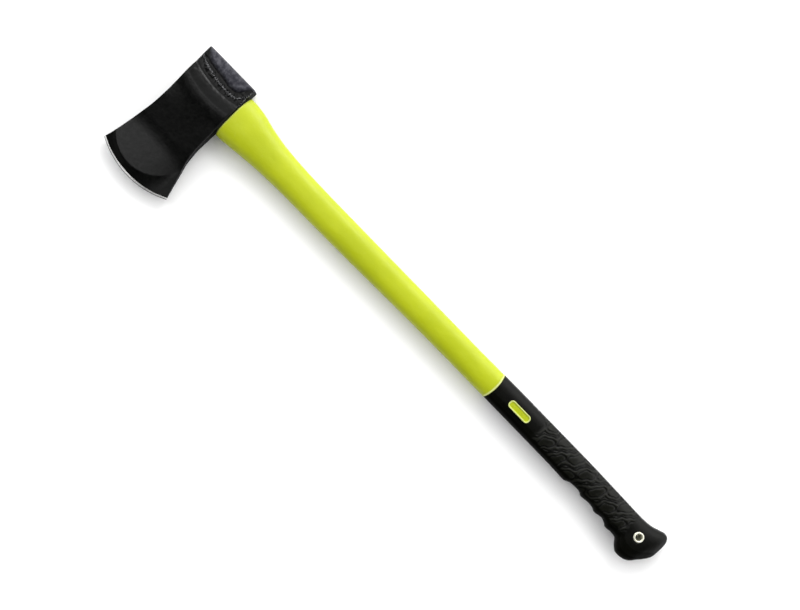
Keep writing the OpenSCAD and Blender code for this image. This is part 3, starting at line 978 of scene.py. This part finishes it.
def build_grip():
    """Black rubber: knob, finger hollows and patterned sides. Returns its half thickness at the panels."""
    panel_reach = PANEL_SIZE[0] / 2 + MM
    panel_gap = (PANEL_MID[0] - panel_reach, PANEL_MID[0] + panel_reach)
    eyelet_gap = (-9 * MM, 9 * MM)
    curves = node_outline("rubber_grip", -1, (panel_gap, eyelet_gap))
    angles = even_angles(160)
    rings, raised, facing = [], [], []
    for x in grip_stations():
        bow = SEAM_BOW * (1 - smoothstep(0, 11, (SEAM_X - x) / MM))
        points, out = oval_ring(x, curves, angles, bow)
        px, py = points[:, 0] / MM, points[:, 1] / MM
        # The pattern covers the sides, and stops short of the knob, the panels and the finger hollows
        ends = smoothstep(14, 20, px) * (1 - smoothstep(168, 176, px))
        zone = ends * smoothstep(0.30, 0.55, np.abs(out[:, 2])) * (1 - smoothstep(8, 12, py))
        relief = leaf_relief(px, py)
        parting = 0.12 * bump_at(np.abs(np.sin(angles)), 0, 0.03)
        lift = parting - GROOVE_DEPTH * zone * (1 - relief)
        rings.append(points + out * lift[:, None] * MM)
        raised.append(relief * zone)
        facing.append(out[:, 1])
    verts, faces = loft(np.array(rings))
    # The two last points are the middles of the ends
    raised = np.concatenate([np.ravel(raised), [0, 0]])
    facing = np.concatenate([np.ravel(facing), [0, 0]])
    # Faces turned towards the blade side take the duller copies: painted shade.
    shade_bands = [int(np.digitize(facing[face[0]], SHADE_BANDS)) for face in faces]
    lit_and_shaded_skins = [RUBBER, RUBBER_HALF_SHADED, RUBBER_SHADED]
    piece = new_piece("grip", verts, faces, lit_and_shaded_skins, shade_bands, sharp=GRIP_SHARP)
    mark_points(piece, "raised", raised)
    carve(piece, grip_tools(), GRIP_SHARP)
    finish_piece(piece, "grip_rubber", "rubber_grip")
    return float(curves[2](PANEL_MID[0]))


def lathe_piece(name, profile, flip, materials, count=72, sharp=38):
    """Solid turned about Z from (radius, z) points, low to high, closed at its ends."""
    angles = even_angles(count)
    rings = np.array([
        np.column_stack([r * np.cos(angles), r * np.sin(angles), np.full(count, z)]) for r, z in profile
    ])
    return new_piece(name, *loft(on_side(rings, flip)), materials, sharp=sharp)


def closed_loop_faces(rows, columns):
    """Quads between rows of points and from the last row back to the first."""
    last = (rows - 1) * columns
    back = [(last + c, last + (c + 1) % columns, (c + 1) % columns, c) for c in range(columns)]
    return grid_faces(rows, columns) + back


def build_eyelet(sides=96):
    """Metal tube with rolled rims; the roll is slightly uneven, as a pressed one is."""
    hole = hang_hole["dims"]["r_mm"] * MM
    rim = eyelet_hi.x
    roll = (rim - hole) / 2
    top = eyelet_hi.z - roll
    arc = np.linspace(math.pi, -0.35, 14)
    upper = [(hole + roll + roll * math.cos(a), top + roll * math.sin(a)) for a in arc]
    under = [(rim - 0.25 * MM, top - 0.75 * MM), (hole + 0.75 * MM, top - 0.75 * MM)]
    outer = upper + under
    # The far rim is the near one mirrored, and the bore's straight wall closes the section
    profile = outer + [(r, -z) for r, z in reversed(outer)]
    angles = even_angles(sides)
    uneven = 0.05 * MM * np.sin(3 * angles + 1)
    rings = np.array([
        np.column_stack([
            r * np.cos(angles), r * np.sin(angles), z + uneven * smoothstep(hole, rim, r) * np.sign(z)
        ]) for r, z in profile
    ])
    faces = [face[::-1] for face in closed_loop_faces(len(rings), sides)]
    piece = new_piece("hang_eyelet_tube", rings.reshape(-1, 3), faces, [NICKEL], sharp=60)
    finish_piece(piece, "eyelet_metal", "hang_eyelet")


# -------------------- joint between head and handle

def build_seal():
    """Soft dam squeezed between shoulder and head, its rim bulging slightly."""
    depth = seal_hi.x - seal_lo.x
    width = seal_hi.y - seal_lo.y
    thick = seal_hi.z - seal_lo.z
    rings = []
    for t in np.linspace(0, 1, 7):
        bulge = 0.5 * MM * math.sin(math.pi * t) - 0.5 * MM
        rings.append(slot_ring(seal_lo.x + depth * t, width + 2 * bulge, thick + 2 * bulge, 96))
    piece = new_piece("seal", *loft(np.array(rings)), [SEAL])
    carve(piece, [new_piece("seal_cutter", *core_bar(seal_lo.x - MM, seal_hi.x + MM), [SEAL])])
    finish_piece(piece, "seal_rubber", "eye_seal")


def build_resin(columns=80):
    """Cast resin in the eye: its poured top sags a little between the steel and the core."""
    top = resin_hi.x
    outer_w, outer_t = resin_hi.y - resin_lo.y, resin_hi.z - resin_lo.z
    core_w, core_t = core_hi.y - core_lo.y, core_hi.z - core_lo.z
    rings = [
        slot_ring(resin_lo.x, core_w, core_t, columns),
        slot_ring(resin_lo.x, outer_w, outer_t, columns),
    ]
    for t in np.linspace(0, 1, 9):
        sag = 0.7 * MM * math.sin(math.pi * t)
        width = outer_w + (core_w - outer_w) * t
        thick = outer_t + (core_t - outer_t) * t
        rings.append(slot_ring(top - sag, width, thick, columns))
    rings = np.array(rings)
    # Ripples on the poured top, with its rims left true
    rings[2:-1, :, 0] += wavy(rings[2:-1], size=0.006, seed=5, octaves=2) * 0.15 * MM
    rings[..., 0] = np.minimum(rings[..., 0], top)
    faces = closed_loop_faces(len(rings), columns)
    piece = new_piece("resin", rings.reshape(-1, 3), faces, [RESIN], sharp=50)
    finish_piece(piece, "eye_resin", "eye_resin")


def dress_core():
    """The glass-fibre bar keeps its CAD shape; only its material changes."""
    mesh = frame["nodes"]["fibreglass_core"].data
    mesh.materials.clear()
    mesh.materials.append(FIBREGLASS)


# -------------------- studio

HANDLE_ANGLE = math.radians(45.8)    # of the handle across the picture, from the horizontal
CAMERA_HEIGHT = 1.6
PICTURE_WIDTH = 0.9488               # what the picture's width covers on the axe's mid plane
SENSOR_WIDTH = 36                    # of the camera, in mm
PICTURE_OFFSET = Vector((17.1 * MM, -35.8 * MM, 0))   # from the axe's middle to the picture's

AXE_MIDDLE = Vector((0.4, 0.02, 0))  # what the lights face
BLADE = Vector((0.73, 0.12, 0))

# Radiance of the dome's walls and roof
WALL_POLL_SIDE = 3.1
WALL_BLADE_SIDE = 0.25
ROOF_POLL_SIDE = 1.2
ROOF_OVER_EYE = 1.4
ROOF_OVER_BLADE = 2.7
ROOF_DARK = 0.01


def build_camera():
    """Looks straight down on the axe as it lies on its cheek, head at the upper left."""
    aim = (cad_lo + cad_hi) / 2 + PICTURE_OFFSET
    camera = bpy.data.objects.new("camera", bpy.data.cameras.new("camera"))
    right = Vector((-math.cos(HANDLE_ANGLE), -math.sin(HANDLE_ANGLE), 0))
    up = Vector((math.sin(HANDLE_ANGLE), -math.cos(HANDLE_ANGLE), 0))
    turn = Matrix((right, up, right.cross(up))).transposed().to_4x4()
    camera.matrix_world = Matrix.Translation((aim.x, aim.y, CAMERA_HEIGHT)) @ turn
    camera.data.sensor_width = SENSOR_WIDTH
    camera.data.lens = SENSOR_WIDTH * CAMERA_HEIGHT / PICTURE_WIDTH
    bpy.context.scene.collection.objects.link(camera)
    bpy.context.scene.camera = camera


def build_floor():
    """White paper under the axe."""
    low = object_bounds()[0].z
    reach = 12
    corners = [(-reach, -reach, low), (reach, -reach, low), (reach, reach, low), (-reach, reach, low)]
    mesh = bpy.data.meshes.new("floor")
    mesh.from_pydata(corners, [], [(0, 1, 2, 3)])
    floor = bpy.data.objects.new("floor", mesh)
    bpy.context.scene.collection.objects.link(floor)
    paper = Shader("floor_paper", Specular_IOR_Level=0.0, Roughness=0.9)
    paper.feed("Base Color", paper.mix(paper.noise(0.4, 2), (0.91, 0.91, 0.91), (0.93, 0.93, 0.93)))
    mesh.materials.append(paper.material)


def soft_light(name, direction, distance, size, radiance, aim):
    """Square softbox of that brightness, facing aim from a direction."""
    light = bpy.data.objects.new(name, bpy.data.lights.new(name, "AREA"))
    light.data.size = size
    light.data.energy = 4 * size**2 * radiance
    light.location = aim + Vector(direction).normalized() * distance
    light.rotation_mode = "QUATERNION"
    light.rotation_quaternion = (aim - light.location).to_track_quat("-Z", "Y")
    bpy.context.scene.collection.objects.link(light)


def build_dome():
    """White tent round the axe: bright on the poll side, dimmer behind the blade.

    Its roof is dark but for the poll side and two patches that the painted head mirrors.
    """
    world = bpy.data.worlds.new("studio")
    world.use_nodes = True
    bpy.context.scene.world = world
    n = Nodes(world.node_tree)
    split = n.node("ShaderNodeSeparateXYZ")
    n.link(n.node("ShaderNodeTexCoord").outputs["Generated"], split.inputs[0])
    x, y, z = split.outputs
    wall = n.fit(y, -0.3, 0.85, WALL_POLL_SIDE, WALL_BLADE_SIDE)
    poll_half = n.fit(y, -0.15, -0.45, ROOF_DARK, ROOF_POLL_SIDE)
    over_eye = n.fit(y, 0.20, 0.08, 0.0, ROOF_OVER_EYE)
    over_blade = n.maths("MULTIPLY", n.fit(y, 0.20, 0.13, 0.0, ROOF_OVER_BLADE), n.fit(y, 0.0, 0.08))
    over_head = n.maths("MULTIPLY", n.maths("ADD", over_eye, over_blade), n.fit(x, 0.0, 0.18))
    roof = n.maths("MAXIMUM", poll_half, over_head)
    overhead = n.fit(z, 0.62, 0.80)
    from_roof = n.maths("MULTIPLY", roof, overhead)
    from_wall = n.maths("MULTIPLY", wall, n.maths("SUBTRACT", 1.0, overhead))
    background = n.tree.nodes["Background"]
    background.inputs["Color"].default_value = (1, 1, 1, 1)
    n.link(n.maths("ADD", from_roof, from_wall), background.inputs["Strength"])


def build_light():
    """The dome, a key light on the poll side and a small one for the ground edge."""
    build_dome()
    soft_light("key", (0.25, -1.0, 0.9), distance=2.6, size=0.8, radiance=5.5, aim=AXE_MIDDLE)
    soft_light("edge_light", (0.35, 1.0, 0.55), distance=2.4, size=0.7, radiance=2.0, aim=BLADE)
    view = bpy.context.scene.view_settings
    view.view_transform = "Standard"
    view.look = "None"


build_head()
build_jacket()
panel_skin = build_grip()
build_panels(panel_skin)
build_eyelet()
build_seal()
build_resin()
dress_core()
build_floor()
build_light()
build_camera()
